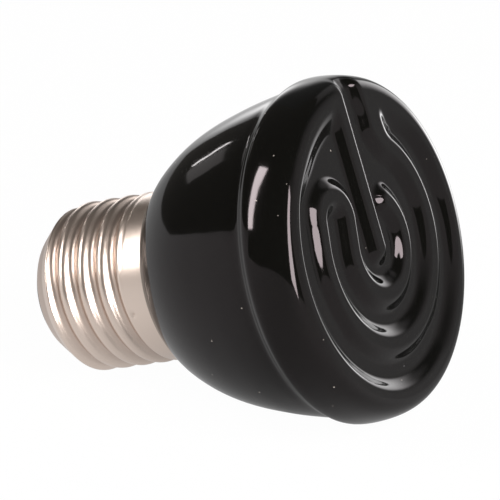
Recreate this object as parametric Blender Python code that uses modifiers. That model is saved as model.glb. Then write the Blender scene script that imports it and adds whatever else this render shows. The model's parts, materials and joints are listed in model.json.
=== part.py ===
# Ceramic heat emitter: a glazed ceramic bowl with a labyrinth relief on its face, on an Edison screw cap.
# It lies on its side, as it comes to rest: on the widest ring of its flange and on a crest of its thread.
# Lengths are in millimetres up to MM, which turns them into metres. Z runs along the emitter's axis, from
# the end of the centre contact to the face, until stand_at_rest() tilts the whole.

import math

import bmesh
import bpy
import numpy as np
from mathutils import Matrix, Vector

MM = 0.001
GAP = 0.3  # clearance between pieces that touch

# Ceramic body, as (radius, distance behind the face)
RIM_EDGE = [(22.9, 0.0), (24.3, 0.5), (25.3, 1.4), (25.9, 2.7), (26.3, 4.5), (26.5, 6.6)]
FLANGE_BACK = [(26.35, 7.8), (25.75, 8.7), (25.3, 9.4)]
BOWL = [(25.0, 11.4), (24.2, 15.6), (23.4, 18.8), (22.5, 21.9), (21.3, 25.1), (19.75, 28.2), (17.6, 31.4)]
BOWL_BACK = [(15.9, 33.2), (14.9, 34.05), (13.9, 34.3)]
BOWL_DEPTH = 34.3  # face to the shelf behind the bowl, where the cap's collar ends
BODY_SEGMENTS = 80

# Relief on the face: one bead that runs in a labyrinth, around grooves of the same pitch
RELIEF_DEPTH = 1.4
BEAD_TOP = 0.7  # half the width of the bead's flat top
BEAD_FLANK = 2.4  # run of the flank from the top to the groove floor
OUTER_RING = 15.6
OUTER_RING_CENTRE = (0.15, 0.58)
INNER_RING = 7.5
RIM_WALL = 20.2  # where the groove floor meets the rim's flank
RIM_CENTRE = (-0.2, 0.35)
FINGER_TURN = 92.4  # direction of the straight finger, counter-clockwise from the local X axis
ARMS_LEAVE = 166.0  # where both rings run out straight to the hairpin
ARM_LENGTH = 3.9
INNER_RING_END = 44.0
OUTER_RING_END = 50.0
BRIDGE_BEND = 6.0
BRIDGE_EXTRA = 0.6  # the bridge to the rim is wider than the bead by this, each side
NOTCH_CENTRE = 3.7  # of the notch through the rim, between the finger and the bridge
NOTCH_HALF = 2.4
NOTCH_FLANK = 2.1
FINGER_PLACE = -0.1
FINGER_START = -0.4
FINGER_END = 25.4
BRIDGE_END = 23.6
BRIDGE_SPREAD = 1.5  # more width on the bridge's right, over SPREAD_RUN
BRIDGE_FOOT = 1.2  # the rim's flank starts this much further in beside the bridge
SPREAD_RUN = 4.5
RUN_OUT_STRETCH = 0.65  # share by which the flank right of the bridge is longer
CORNER_END = 60.0  # degrees from the finger within which the rim's flank is softer
CORNER_TURN = 25.0
CORNER_FOOT = 1.9  # left of the finger: the flank starts further in, and is longer
CORNER_STRETCH = 1.6
FADE_FROM = 24.6  # radius over which the relief ends, on the rounded edge of the rim
FADE_OVER = 2.0
RELIEF_REACH = 8.0  # behind the face: the relief moves no point further back
RELIEF_BLEND = 5.0
FACE_RINGS = 25

# Screw cap, size E27. Its places are measured from the shelf behind the bowl.
CREST_RADIUS = 13.1
THREAD_DEPTH = 1.0
ROOT_RADIUS = CREST_RADIUS - THREAD_DEPTH
PITCH = 3.629
COLLAR_LENGTH = 3.9
THREAD_RUN_IN = 1.8
THREAD_RUN_OUT = 1.8
LIP_LENGTH = 1.6
LIP_RADIUS = 9.9
SHELL_LENGTH = 22.5
SHELL_WALL = 0.35
SHELL_SEGMENTS = 40
THREAD_START = BOWL_DEPTH + COLLAR_LENGTH
THREAD_FULL = THREAD_START + THREAD_RUN_IN
SHELL_END = BOWL_DEPTH + SHELL_LENGTH
THREAD_GONE = SHELL_END - LIP_LENGTH
THREAD_FADE = THREAD_GONE - THREAD_RUN_OUT
FIRST_CREST = 9.2  # shelf to a crest, at CREST_ANGLE
CREST_AT = BOWL_DEPTH + FIRST_CREST
CREST_ANGLE = 78.4
STAKE_PLACE = 4.0
STAKE_AT = BOWL_DEPTH + STAKE_PLACE
STAKE_ANGLES = (191.0, 311.0, 71.0)
STAKE_RADIUS = 0.6
STAKE_DEPTH = 0.2

# Insulator, contact, leads and the neck inside the cap
CONTACT_STAND = 3.4  # the contact's face stands out of the shell's end by this
LENGTH = SHELL_END + CONTACT_STAND  # face to the face of the centre contact
CONTACT_RADIUS = 4.75
CONTACT_FACE = 0.6
CONTACT_WALL = 0.4
CONTACT_SKIRT = 1.0
CONTACT_EDGE = 0.25
GLASS_DEPTH = 3.0  # how far the insulator reaches into the shell
GLASS_LEDGE = 0.85
GLASS_SHOULDER = 1.0
GLASS_INNER = SHELL_END - GLASS_DEPTH
LEAD_RADIUS = 0.5
LEAD_SPACING = 4.5
LEAD_ROOM = 3.8  # between the neck and the insulator
NECK_END = GLASS_INNER - LEAD_ROOM
NECK_RADIUS = ROOT_RADIUS - SHELL_WALL - GAP
NECK_EDGE = 1.0
SOLDER_RADIUS = 1.9
SOLDER_HEIGHT = 0.7
SOLDER_FLAT = 1.1  # radius of the worn flat on top of the solder
SIDE_SOLDER = 0.9


def clear_scene():
    for obj in list(bpy.data.objects):
        bpy.data.objects.remove(obj, do_unlink=True)


def make_collection(name):
    collection = bpy.data.collections.new(name)
    bpy.context.scene.collection.children.link(collection)
    return collection


def material(name, colour, roughness, metallic=0.0):
    made = bpy.data.materials.new(name)
    made.use_nodes = True
    shader = made.node_tree.nodes["Principled BSDF"]
    shader.inputs["Base Color"].default_value = (*colour, 1.0)
    shader.inputs["Roughness"].default_value = roughness
    shader.inputs["Metallic"].default_value = metallic
    return made


def add_object(name, data, surface, collection):
    obj = bpy.data.objects.new(name, data)
    collection.objects.link(obj)
    obj.data.materials.append(surface)
    return obj


def turned(name, outline, segments, surface, collection, closed=False):
    """A solid of revolution. The outline holds (radius, distance behind the face), top to bottom."""
    mesh = bpy.data.meshes.new(name)
    points = [(r * MM, 0.0, (LENGTH - s) * MM) for r, s in outline]
    edges = [(i, i + 1) for i in range(len(points) - 1)]
    if closed:
        edges.append((len(points) - 1, 0))
    mesh.from_pydata(points, edges, [])
    obj = add_object(name, mesh, surface, collection)
    screw = obj.modifiers.new("Turn", "SCREW")
    screw.axis = "Z"
    screw.angle = 2 * math.pi
    screw.steps = segments
    screw.render_steps = segments
    screw.use_merge_vertices = True
    screw.merge_threshold = 0.00001
    screw.use_smooth_shade = True
    return obj


def bake(obj, segments):
    """Applies the modifiers, and turns the mesh half a segment so that a facet, not an edge, is lowest."""
    graph = bpy.context.evaluated_depsgraph_get()
    mesh = bpy.data.meshes.new_from_object(obj.evaluated_get(graph))
    obj.modifiers.clear()
    obj.data = mesh
    mesh.transform(Matrix.Rotation(math.pi / segments, 4, "Z"))
    return mesh


def mesh_points(mesh):
    points = np.empty(len(mesh.vertices) * 3)
    mesh.vertices.foreach_get("co", points)
    return points.reshape(-1, 3)


def ease(t):
    """0 to 1 along half a cosine wave."""
    return 0.5 - 0.5 * np.cos(np.pi * np.clip(t, 0.0, 1.0))


def to_segment(x, y, a, b):
    """Distance from the points to the straight line between a and b."""
    dx, dy = b[0] - a[0], b[1] - a[1]
    t = np.clip(((x - a[0]) * dx + (y - a[1]) * dy) / (dx * dx + dy * dy), 0.0, 1.0)
    return np.hypot(x - a[0] - t * dx, y - a[1] - t * dy)


def to_arc(x, y, centre, radius, start, end):
    """Distance to an arc that runs counter-clockwise from start to end, in degrees."""
    angle = np.degrees(np.arctan2(y - centre[1], x - centre[0]))
    inside = (angle - start) % 360 <= (end - start) % 360
    along = np.abs(np.hypot(x - centre[0], y - centre[1]) - radius)
    ends = [on_circle(centre, radius, a) for a in (start, end)]
    beyond = np.minimum(*[np.hypot(x - px, y - py) for px, py in ends])
    return np.where(inside, along, beyond)


def on_circle(centre, radius, degrees):
    angle = math.radians(degrees)
    return centre[0] + radius * math.cos(angle), centre[1] + radius * math.sin(angle)


def hairpin_distance(x, y):
    """The two straight arms and the half circle that join the outer ring to the inner one."""
    angle = math.radians(ARMS_LEAVE - 90)
    ahead = (ARM_LENGTH * math.cos(angle), ARM_LENGTH * math.sin(angle))
    outer = on_circle(OUTER_RING_CENTRE, OUTER_RING, ARMS_LEAVE)
    inner = on_circle((0, 0), INNER_RING, ARMS_LEAVE)
    outer_tip = (outer[0] + ahead[0], outer[1] + ahead[1])
    inner_tip = (inner[0] + ahead[0], inner[1] + ahead[1])
    middle = ((outer_tip[0] + inner_tip[0]) / 2, (outer_tip[1] + inner_tip[1]) / 2)
    radius = math.dist(outer_tip, inner_tip) / 2
    bend = to_arc(x, y, middle, radius, ARMS_LEAVE - 180, ARMS_LEAVE)
    arms = np.minimum(to_segment(x, y, outer, outer_tip), to_segment(x, y, inner, inner_tip))
    return np.minimum(arms, bend)


def bridge_distance(x, y):
    """Distance to the bend from the outer ring's end to the rim. It widens on the way, most of all on the
    right, where the flank is stretched too, so that the groove beside it runs out gently."""
    start = on_circle(OUTER_RING_CENTRE, OUTER_RING, OUTER_RING_END)
    centre = on_circle(start, BRIDGE_BEND, OUTER_RING_END)
    top = (centre[0] - BRIDGE_BEND, centre[1])
    bend = to_arc(x, y, centre, BRIDGE_BEND, 180, 180 + OUTER_RING_END)
    distance = np.minimum(bend, to_segment(x, y, top, (top[0], BRIDGE_END)))
    in_bend = np.hypot(x - centre[0], y - centre[1]) < BRIDGE_BEND
    right = np.where(y > top[1], x > top[0], in_bend)
    gain = ease((y - start[1]) / (top[1] - start[1]))
    spread = ease((y - top[1]) / SPREAD_RUN)
    beyond = distance - BEAD_TOP - BRIDGE_EXTRA * gain - BRIDGE_SPREAD * spread * right
    return BEAD_TOP + beyond / (1 + RUN_OUT_STRETCH * gain * right)


def relief(x, y):
    """How far the face lies below the bead's top, at local x and y. The flanks of the bead and of the rim
    are multiplied, so that the grooves' corners are rounded."""
    turn = math.radians(FINGER_TURN - 90)
    u = x * math.cos(turn) + y * math.sin(turn)
    v = -x * math.sin(turn) + y * math.cos(turn)
    distance = np.minimum.reduce(
        [
            to_segment(u, v, (FINGER_PLACE, FINGER_START), (FINGER_PLACE, FINGER_END)),
            to_arc(u, v, (0, 0), INNER_RING, ARMS_LEAVE, INNER_RING_END),
            to_arc(u, v, OUTER_RING_CENTRE, OUTER_RING, ARMS_LEAVE, OUTER_RING_END),
            hairpin_distance(u, v),
            bridge_distance(u, v),
        ]
    )
    below_bead = ease((distance - BEAD_TOP) / BEAD_FLANK)
    radius = np.hypot(u - RIM_CENTRE[0], v - RIM_CENTRE[1])
    from_finger = np.degrees(np.arctan2(v, u)) - 90
    left = ease((CORNER_END - from_finger) / CORNER_TURN) * (u < FINGER_PLACE) * (v > 0)
    right = ease((CORNER_END + from_finger) / CORNER_TURN) * (u > FINGER_PLACE)
    foot = RIM_WALL - CORNER_FOOT * left - BRIDGE_FOOT * right
    on_rim = ease((radius - foot) / (BEAD_FLANK + CORNER_STRETCH * left))
    beside_notch = np.where(v > 0, ease((np.abs(u - NOTCH_CENTRE) - NOTCH_HALF) / NOTCH_FLANK), 1.0)
    fade = 1 - ease((np.hypot(u, v) - FADE_FROM) / FADE_OVER)
    return RELIEF_DEPTH * below_bead * (1 - on_rim * beside_notch) * fade


def bowl_outline():
    """The outline behind the flange, stretched so that it ends at BOWL_DEPTH."""
    flange, drawn = FLANGE_BACK[-1][1], BOWL_BACK[-1][1]
    share = (BOWL_DEPTH - flange) / (drawn - flange)
    return [(r, flange + (s - flange) * share) for r, s in BOWL + BOWL_BACK]


def ceramic_body(surface, collection):
    """The bowl, its flange and its neck are turned, and then the face is lowered into the grooves."""
    flat = RIM_EDGE[0][0]
    face = [(flat * i / FACE_RINGS, 0.0) for i in range(FACE_RINGS)]
    neck = [(NECK_RADIUS + NECK_EDGE / 2, BOWL_DEPTH), (NECK_RADIUS, BOWL_DEPTH + NECK_EDGE / 2)]
    neck += [(NECK_RADIUS, NECK_END - NECK_EDGE), (NECK_RADIUS - NECK_EDGE, NECK_END), (0.0, NECK_END)]
    outline = face + RIM_EDGE + FLANGE_BACK + bowl_outline() + neck
    obj = turned("ceramic_body", outline, BODY_SEGMENTS, surface, collection)
    mesh = bake(obj, BODY_SEGMENTS)
    points = mesh_points(mesh)
    x, y, z = points.T / MM
    ahead = z - LENGTH + RELIEF_REACH
    sunk = np.where(ahead > 0, relief(x, y) * ease(ahead / RELIEF_BLEND), 0.0)
    points[:, 2] -= sunk * MM
    mesh.vertices.foreach_set("co", points.ravel())
    mesh.update()
    return obj


def thread_sink(behind, angle):
    """Depth below the crest radius, 0 to 1: arcs of one radius that meet halfway, on a right-hand helix."""
    quarter = PITCH / 4
    arc = (quarter**2 + (THREAD_DEPTH / 2) ** 2) / THREAD_DEPTH
    crest = CREST_AT - PITCH * (angle - CREST_ANGLE) / 360
    off = np.abs((behind - crest + PITCH / 2) % PITCH - PITCH / 2)
    by_crest = arc - np.sqrt(arc**2 - np.minimum(off, quarter) ** 2)
    by_root = arc - np.sqrt(arc**2 - np.minimum(PITCH / 2 - off, quarter) ** 2)
    sink = np.where(off < quarter, by_crest, THREAD_DEPTH - by_root) / THREAD_DEPTH
    start = ease((behind - THREAD_START) / (THREAD_FULL - THREAD_START))
    end = ease((behind - THREAD_FADE) / (THREAD_GONE - THREAD_FADE))
    return sink * start * (1 - end) + end


def lip_outline(inset):
    """The shell's turned-in end as a quarter of an ellipse, moved inwards by inset."""
    across, along = ROOT_RADIUS - LIP_RADIUS - inset, LIP_LENGTH - inset
    turns = [math.radians(degrees) for degrees in (25, 50, 75)]
    curve = [(LIP_RADIUS + across * math.cos(t), THREAD_GONE + along * math.sin(t)) for t in turns]
    return curve + [(LIP_RADIUS, THREAD_GONE + along)]


def screw_shell(surface, collection, cutters):
    """A thin pressed shell: plain collar, rolled thread and turned-in end, with three staking marks."""
    rings = round((THREAD_GONE - THREAD_START) / (PITCH / 5.5))
    thread = [THREAD_START + (THREAD_GONE - THREAD_START) * i / rings for i in range(rings + 1)]
    top = BOWL_DEPTH + GAP
    outer = [(CREST_RADIUS - GAP / 3, top), (CREST_RADIUS, top + GAP)] + [(CREST_RADIUS, s) for s in thread]
    outer += [(r + THREAD_DEPTH, s) for r, s in lip_outline(0.0)]
    lip = [(r + THREAD_DEPTH, s) for r, s in reversed(lip_outline(SHELL_WALL))]
    inner = [(CREST_RADIUS - SHELL_WALL, s) for s in reversed(thread)] + [(CREST_RADIUS - SHELL_WALL, top)]
    obj = turned("screw_shell", outer + lip + inner, SHELL_SEGMENTS, surface, collection, closed=True)
    mesh = bake(obj, SHELL_SEGMENTS)
    points = mesh_points(mesh)
    x, y, z = points.T / MM
    radius = np.hypot(x, y)
    sunk = radius - THREAD_DEPTH * thread_sink(LENGTH - z, np.degrees(np.arctan2(y, x)))
    points[:, :2] *= (sunk / radius)[:, None]
    mesh.vertices.foreach_set("co", points.ravel())
    mesh.update()
    for index, angle in enumerate(STAKE_ANGLES):
        stake_mark(obj, index, angle, cutters)
    return obj


def stake_mark(shell, index, angle, cutters):
    """A round-bottomed mark where the collar is staked to the ceramic neck."""
    bpy.ops.mesh.primitive_uv_sphere_add(segments=10, ring_count=6, radius=STAKE_RADIUS * MM)
    ball = bpy.context.object
    ball.name = f"stake_cutter_{index}"
    for owner in list(ball.users_collection):
        owner.objects.unlink(ball)
    cutters.objects.link(ball)
    reach = (CREST_RADIUS + STAKE_RADIUS - STAKE_DEPTH) * MM
    turn = math.radians(angle)
    ball.location = (reach * math.cos(turn), reach * math.sin(turn), (LENGTH - STAKE_AT) * MM)
    ball.hide_render = True
    ball.display_type = "WIRE"
    cut = shell.modifiers.new(f"Stake {index}", "BOOLEAN")
    cut.operation = "DIFFERENCE"
    cut.solver = "EXACT"
    cut.object = ball


def cap_insulator(surface, collection):
    """Black glass that fills the end of the shell and carries the contact on a boss."""
    hole = LEAD_RADIUS + GAP
    inside = LIP_RADIUS - GAP
    seat = LENGTH - CONTACT_FACE - GAP
    boss = CONTACT_RADIUS - CONTACT_WALL - GAP
    ledge = LENGTH - CONTACT_SKIRT - GAP
    behind_lip = lip_outline(SHELL_WALL + GAP)
    outline = [(hole, GLASS_INNER), (NECK_RADIUS, GLASS_INNER), (NECK_RADIUS, THREAD_GONE)] + behind_lip[:-1]
    outline += [(inside, behind_lip[-1][1]), (inside, SHELL_END)]
    outline += [(inside - GLASS_SHOULDER, (SHELL_END + ledge) / 2), (CONTACT_RADIUS + GLASS_LEDGE, ledge)]
    outline += [(boss, ledge), (boss, seat), (hole, seat)]
    return turned("cap_insulator", outline, 32, surface, collection, closed=True)


def centre_contact(surface, collection):
    """A stamped cap with a short skirt, and a hole for the lead."""
    rim, hole = CONTACT_RADIUS, LEAD_RADIUS + GAP
    outline = [(hole, LENGTH - CONTACT_FACE), (rim - CONTACT_WALL, LENGTH - CONTACT_FACE)]
    outline += [(rim - CONTACT_WALL, LENGTH - CONTACT_SKIRT), (rim, LENGTH - CONTACT_SKIRT)]
    outline += [(rim, LENGTH - CONTACT_EDGE), (rim - CONTACT_EDGE, LENGTH), (hole, LENGTH)]
    return turned("centre_contact", outline, 32, surface, collection, closed=True)


def contact_solder(surface, collection):
    """The low mound of solder that closes the contact's hole over the lead, flat on top."""
    base = LENGTH + GAP
    shoulder = SOLDER_FLAT + (SOLDER_RADIUS - SOLDER_FLAT) * 0.7
    rise = [(0.0, base), (SOLDER_RADIUS, base), (shoulder, base + SOLDER_HEIGHT * 0.7)]
    rise += [(SOLDER_FLAT, base + SOLDER_HEIGHT), (0.0, base + SOLDER_HEIGHT)]
    return turned("contact_solder", rise, 24, surface, collection)


def lead(name, points, surface, collection):
    """A round wire through the points, with filled ends."""
    curve = bpy.data.curves.new(name, "CURVE")
    curve.dimensions = "3D"
    curve.bevel_depth = LEAD_RADIUS * MM
    curve.bevel_resolution = 2
    curve.use_fill_caps = True
    curve.resolution_u = 5
    spline = curve.splines.new("BEZIER")
    spline.bezier_points.add(len(points) - 1)
    for knot, (x, s) in zip(spline.bezier_points, points):
        knot.co = (x * MM, 0.0, (LENGTH - s) * MM)
        knot.handle_left_type = "AUTO"
        knot.handle_right_type = "AUTO"
    return add_object(name, curve, surface, collection)


def lead_holes(body, cutters):
    """Two blind holes in the end of the neck, where the leads come out of the ceramic."""
    for side in (-1, 1):
        bpy.ops.mesh.primitive_cylinder_add(vertices=20, radius=(LEAD_RADIUS + GAP) * MM, depth=6 * MM)
        drill = bpy.context.object
        drill.name = "lead_hole_cutter"
        for owner in list(drill.users_collection):
            owner.objects.unlink(drill)
        cutters.objects.link(drill)
        drill.location = (side * LEAD_SPACING * MM, 0.0, (LENGTH - NECK_END) * MM)
        drill.hide_render = True
        drill.display_type = "WIRE"
        cut = body.modifiers.new("Lead hole", "BOOLEAN")
        cut.operation = "DIFFERENCE"
        cut.solver = "EXACT"
        cut.object = drill


def centre_lead(surface, collection):
    """From the left hole of the neck, across to the axis and through the insulator to the contact."""
    left = -LEAD_SPACING
    route = [(left, NECK_END - 2.0), (left, NECK_END + LEAD_ROOM * 0.15), (left / 3, NECK_END + LEAD_ROOM * 0.65)]
    route += [(0.0, GLASS_INNER + GAP), (0.0, (GLASS_INNER + LENGTH) / 2), (0.0, LENGTH)]
    return lead("centre_lead", route, surface, collection)


def side_lead(surface, collection):
    """From the right hole of the neck, outwards to the solder on the shell."""
    end = ROOT_RADIUS - SHELL_WALL - 2 * SIDE_SOLDER - 2 * GAP
    route = [(LEAD_SPACING, NECK_END - 2.0), (LEAD_SPACING, NECK_END + LEAD_ROOM * 0.1)]
    route += [((LEAD_SPACING + end) / 2, NECK_END + LEAD_ROOM * 0.45), (end, NECK_END + LEAD_ROOM / 2)]
    return lead("side_lead", route, surface, collection)


def side_solder(surface, collection):
    """The blob that joins the side lead to the inside of the shell."""
    mesh = bpy.data.meshes.new("side_solder")
    build = bmesh.new()
    bmesh.ops.create_uvsphere(build, u_segments=14, v_segments=8, radius=SIDE_SOLDER * MM)
    build.to_mesh(mesh)
    build.free()
    obj = add_object("side_solder", mesh, surface, collection)
    reach = ROOT_RADIUS - SHELL_WALL - GAP - SIDE_SOLDER
    obj.location = (reach * MM, 0.0, (LENGTH - NECK_END - LEAD_ROOM / 2) * MM)
    obj.scale = (1.0, 1.3, 1.0)
    return obj


def rest_tilt(body, shell):
    """The tilt at which the flange and a thread crest touch one level floor."""
    first, second = mesh_points(body.data), mesh_points(shell.data)
    tilt = 0.28
    for _ in range(20):
        low = [p[np.argmin(p[:, 1] * math.cos(tilt) + p[:, 2] * math.sin(tilt))] for p in (first, second)]
        tilt = math.atan2(low[1][1] - low[0][1], low[0][2] - low[1][2])
    return tilt


def stand_at_rest(pieces, helpers, tilt):
    """Lays the emitter on the floor, face towards +X, with the middle of its box over the origin."""
    axis = Vector((math.cos(tilt), 0.0, math.sin(tilt)))
    top = Vector((-math.sin(tilt), 0.0, math.cos(tilt)))
    turn = Matrix((Vector((0.0, 1.0, 0.0)), top, axis)).transposed()
    corners = np.concatenate([mesh_points(o.data) for o in pieces if o.name in ("ceramic_body", "screw_shell")])
    placed = corners @ np.array(turn).T
    contact = -(GAP + SOLDER_HEIGHT) * MM * np.array([axis])
    low, high = np.minimum(placed.min(0), contact[0]), placed.max(0)
    frame = bpy.data.objects.new("emitter_axis", None)
    pieces[0].users_collection[0].objects.link(frame)
    frame.matrix_world = Matrix.Translation((-(low[0] + high[0]) / 2, -(low[1] + high[1]) / 2, -low[2]))
    frame.matrix_world = frame.matrix_world @ turn.to_4x4()
    for obj in pieces + helpers:
        obj.parent = frame


def main():
    clear_scene()
    parts = make_collection("ceramic_heat_emitter")
    cutters = make_collection("cutters")
    glaze = material("black_glaze", (0.012, 0.011, 0.012), 0.12)
    nickel = material("nickel_plate", (0.62, 0.57, 0.52), 0.28, 1.0)
    glass = material("black_glass", (0.01, 0.01, 0.012), 0.15)
    brass = material("contact_metal", (0.66, 0.60, 0.50), 0.3, 1.0)
    solder = material("solder", (0.55, 0.55, 0.56), 0.35, 1.0)
    wire = material("nickel_wire", (0.58, 0.56, 0.53), 0.35, 1.0)
    body = ceramic_body(glaze, parts)
    shell = screw_shell(nickel, parts, cutters)
    tilt = rest_tilt(body, shell)
    lead_holes(body, cutters)
    cap_insulator(glass, parts)
    centre_contact(brass, parts)
    contact_solder(solder, parts)
    centre_lead(wire, parts)
    side_lead(wire, parts)
    side_solder(solder, parts)
    stand_at_rest(list(parts.objects), list(cutters.objects), tilt)
    print(f"rest tilt {math.degrees(tilt):.2f} degrees")


main()
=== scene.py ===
# %% [markdown]
# # Ceramic heat emitter
# A screw-in infrared heater: a cast bowl of ceramic with a coil fired inside, glazed black, on an Edison
# screw cap. The solids of the CAD part give the sizes and the place. Gloss shows every facet, so the glazed
# body, the rolled shell and the end of the cap are made again here as fine surfaces on the same dimensions,
# to within a millimetre, and only the small leads inside the cap and the solder on one of them stay as they
# are. Lengths are millimetres in the emitter's own frame: Z runs along its axis, and s is the distance
# behind the face.

import json
import math

import bpy
import numpy as np
from mathutils import Matrix, Vector


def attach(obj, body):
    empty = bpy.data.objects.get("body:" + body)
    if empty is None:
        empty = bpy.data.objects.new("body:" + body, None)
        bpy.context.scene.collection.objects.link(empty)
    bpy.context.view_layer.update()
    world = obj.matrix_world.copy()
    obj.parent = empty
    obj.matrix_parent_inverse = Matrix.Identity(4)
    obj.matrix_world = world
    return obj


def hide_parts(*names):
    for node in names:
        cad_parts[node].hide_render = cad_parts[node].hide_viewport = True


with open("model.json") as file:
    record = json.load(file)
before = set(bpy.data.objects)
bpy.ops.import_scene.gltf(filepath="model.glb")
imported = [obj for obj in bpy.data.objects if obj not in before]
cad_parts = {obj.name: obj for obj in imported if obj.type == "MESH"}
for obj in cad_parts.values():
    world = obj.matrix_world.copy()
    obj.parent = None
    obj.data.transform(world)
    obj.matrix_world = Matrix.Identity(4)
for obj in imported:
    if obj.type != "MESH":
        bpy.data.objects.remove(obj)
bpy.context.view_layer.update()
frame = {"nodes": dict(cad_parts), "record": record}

# %% [markdown]
# The emitter lies on its side on a table, so nothing on it is square to the world. Its record states one
# mount, the flat on the contact's solder, with a point on the axis and the axis itself. That is enough to
# place every turned surface, because the emitter's left and right are level.

# %% Sizes and place
MM = 0.001
GAP = 0.3  # clearance between pieces that touch
BOWL_DEPTH = 34.3  # face to the shelf behind the bowl, where the shell's collar ends
SHELL_LENGTH = 22.5
SHELL_END = BOWL_DEPTH + SHELL_LENGTH
CONTACT_STAND = 3.4  # the contact's face stands out of the shell's end by this
LENGTH = SHELL_END + CONTACT_STAND
SOLDER_HEIGHT = 0.7

contact_mount = frame["record"]["mounts"][0]
AXIS = -Vector(contact_mount["axis"])
CONTACT_FLAT = Vector(contact_mount["pos_m"])
ACROSS = Vector((0.0, 1.0, 0.0))
TOP = AXIS.cross(ACROSS)
TURN = np.array([ACROSS, TOP, AXIS])
PLACE = np.array(CONTACT_FLAT + AXIS * (GAP + SOLDER_HEIGHT) * MM)
print("axis rises", round(math.degrees(math.asin(AXIS.z)), 2), "degrees towards the face")


def to_world(points):
    """Millimetres in the emitter's frame to metres in the shared frame: x across, y up, z along the axis."""
    return points @ TURN * MM + PLACE


# %% [markdown]
# A lathe turns a profile, so each round piece is a grid: one ring of points for each station of its profile.
# Primitives and modifiers would do it too, but a grid of arrays lets the relief and the thread move each
# point by a formula before the mesh is made.

# %% Turned surfaces


def ease(t):
    """0 to 1 along half a cosine wave: (1 - cos(pi t)) / 2, flat at both ends."""
    return 0.5 - 0.5 * np.cos(np.pi * np.clip(t, 0.0, 1.0))


def smooth_curve(stations, steps):
    """Centripetal Catmull-Rom curve: it passes through each station, and the spacing of its knots is the
    square root of the chord's length, so that it doesn't overshoot where stations lie close together."""
    p = np.array(stations, float)
    p = np.vstack([2 * p[0] - p[1], p, 2 * p[-1] - p[-2]])
    a, b, c, d = p[:-3], p[1:-2], p[2:-1], p[3:]
    knots = [np.zeros(len(a))]
    for first, second in ((a, b), (b, c), (c, d)):
        knots.append(knots[-1] + np.linalg.norm(second - first, axis=1) ** 0.5)
    k0, k1, k2, k3 = (k[:, None, None] for k in knots)
    a, b, c, d = (q[:, None, :] for q in (a, b, c, d))
    t = k1 + (k2 - k1) * np.arange(steps)[None, :, None] / steps
    ab = ((k1 - t) * a + (t - k0) * b) / (k1 - k0)
    bc = ((k2 - t) * b + (t - k1) * c) / (k2 - k1)
    cd = ((k3 - t) * c + (t - k2) * d) / (k3 - k2)
    abc = ((k2 - t) * ab + (t - k0) * bc) / (k2 - k0)
    bcd = ((k3 - t) * bc + (t - k1) * cd) / (k3 - k1)
    curve = ((k2 - t) * abc + (t - k1) * bcd) / (k2 - k1)
    return np.vstack([curve.reshape(-1, 2), p[-2]])


def turned_points(profile, around):
    """Rings of points: (r cos a, r sin a, LENGTH - s) for each station (r, s) and each angle a."""
    radius, behind = np.array(profile, float).T[:, :, None]
    angle = np.linspace(0, 2 * np.pi, around, endpoint=False)
    return np.stack([radius * np.cos(angle), radius * np.sin(angle), LENGTH - behind + 0 * angle], -1)


def ring_mesh(name, points, closed_loop):
    """Joins the rings with quads. A loop's last ring meets its first; otherwise a fan closes each end."""
    rings, around = points.shape[:2]
    bands = rings if closed_loop else rings - 1
    ring, turn = np.meshgrid(np.arange(bands), np.arange(around), indexing="ij")
    after, beside = (ring + 1) % rings * around, (turn + 1) % around
    ring = ring * around
    quads = np.stack([ring + turn, after + turn, after + beside, ring + beside])
    corners = [quads.reshape(4, -1).T.ravel()]
    sizes = [np.full(ring.size, 4)]
    vertices = points.reshape(-1, 3)
    if not closed_loop:
        vertices = np.vstack([vertices, points[0].mean(0), points[-1].mean(0)])
        first, second = np.arange(around), (np.arange(around) + 1) % around
        last = (rings - 1) * around
        corners += [np.stack([np.full(around, rings * around), first, second], -1).ravel()]
        corners += [np.stack([np.full(around, rings * around + 1), last + second, last + first], -1).ravel()]
        sizes += [np.full(2 * around, 3)]
    corners, sizes = np.concatenate(corners).astype(np.int32), np.concatenate(sizes)
    mesh = bpy.data.meshes.new(name)
    mesh.vertices.add(len(vertices))
    mesh.vertices.foreach_set("co", to_world(vertices).ravel())
    mesh.loops.add(len(corners))
    mesh.loops.foreach_set("vertex_index", corners)
    mesh.polygons.add(len(sizes))
    mesh.polygons.foreach_set("loop_start", (np.cumsum(sizes) - sizes).astype(np.int32))
    mesh.polygons.foreach_set("use_smooth", np.ones(len(sizes), bool))
    mesh.update(calc_edges=True)
    piece = bpy.data.objects.new(name, mesh)
    bpy.context.scene.collection.objects.link(piece)
    return piece


# %% [markdown]
# The relief. The mould's face carries one raised bead in a labyrinth: a straight finger from the middle to
# the rim, an outer ring that leaves the rim over a short bridge, a hairpin, and an inner ring that ends
# beside the finger. A curve with a bevel would give a round tube lying on a disc. Cast ceramic has soft
# flanks instead, so the height is a function of the distance to the bead's centre line, and lines and arcs
# are all the data it needs.

# %% Labyrinth relief
RELIEF_DEPTH = 1.3
BEAD_TOP = 0.7  # half the width of the bead's flat top
BEAD_FLANK = 2.5  # run of the flank from the top to the groove floor
OUTER_RING = 15.6
OUTER_RING_CENTRE = (0.15, 0.58)
INNER_RING = 7.5
RIM_WALL = 20.2  # where the groove floor meets the rim's flank
RIM_CENTRE = (-0.2, 0.35)
FINGER_TURN = 92.4  # direction of the straight finger, counter-clockwise from x. The rest is drawn on it
FINGER_PLACE, FINGER_START, FINGER_END = -0.1, -0.4, 25.4
ARMS_LEAVE = 166.0  # where both rings run out straight to the hairpin
ARM_LENGTH = 3.9
INNER_RING_END = 44.0
OUTER_RING_END = 50.0
BRIDGE_BEND = 6.0
BRIDGE_END = 23.6
BRIDGE_EXTRA = 0.6  # the bridge to the rim is wider than the bead by this, each side
BRIDGE_SPREAD, SPREAD_RUN = 1.5, 4.5  # more width on the bridge's right, and its run
RUN_OUT_STRETCH = 0.65  # share by which the flank right of the bridge is longer
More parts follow.
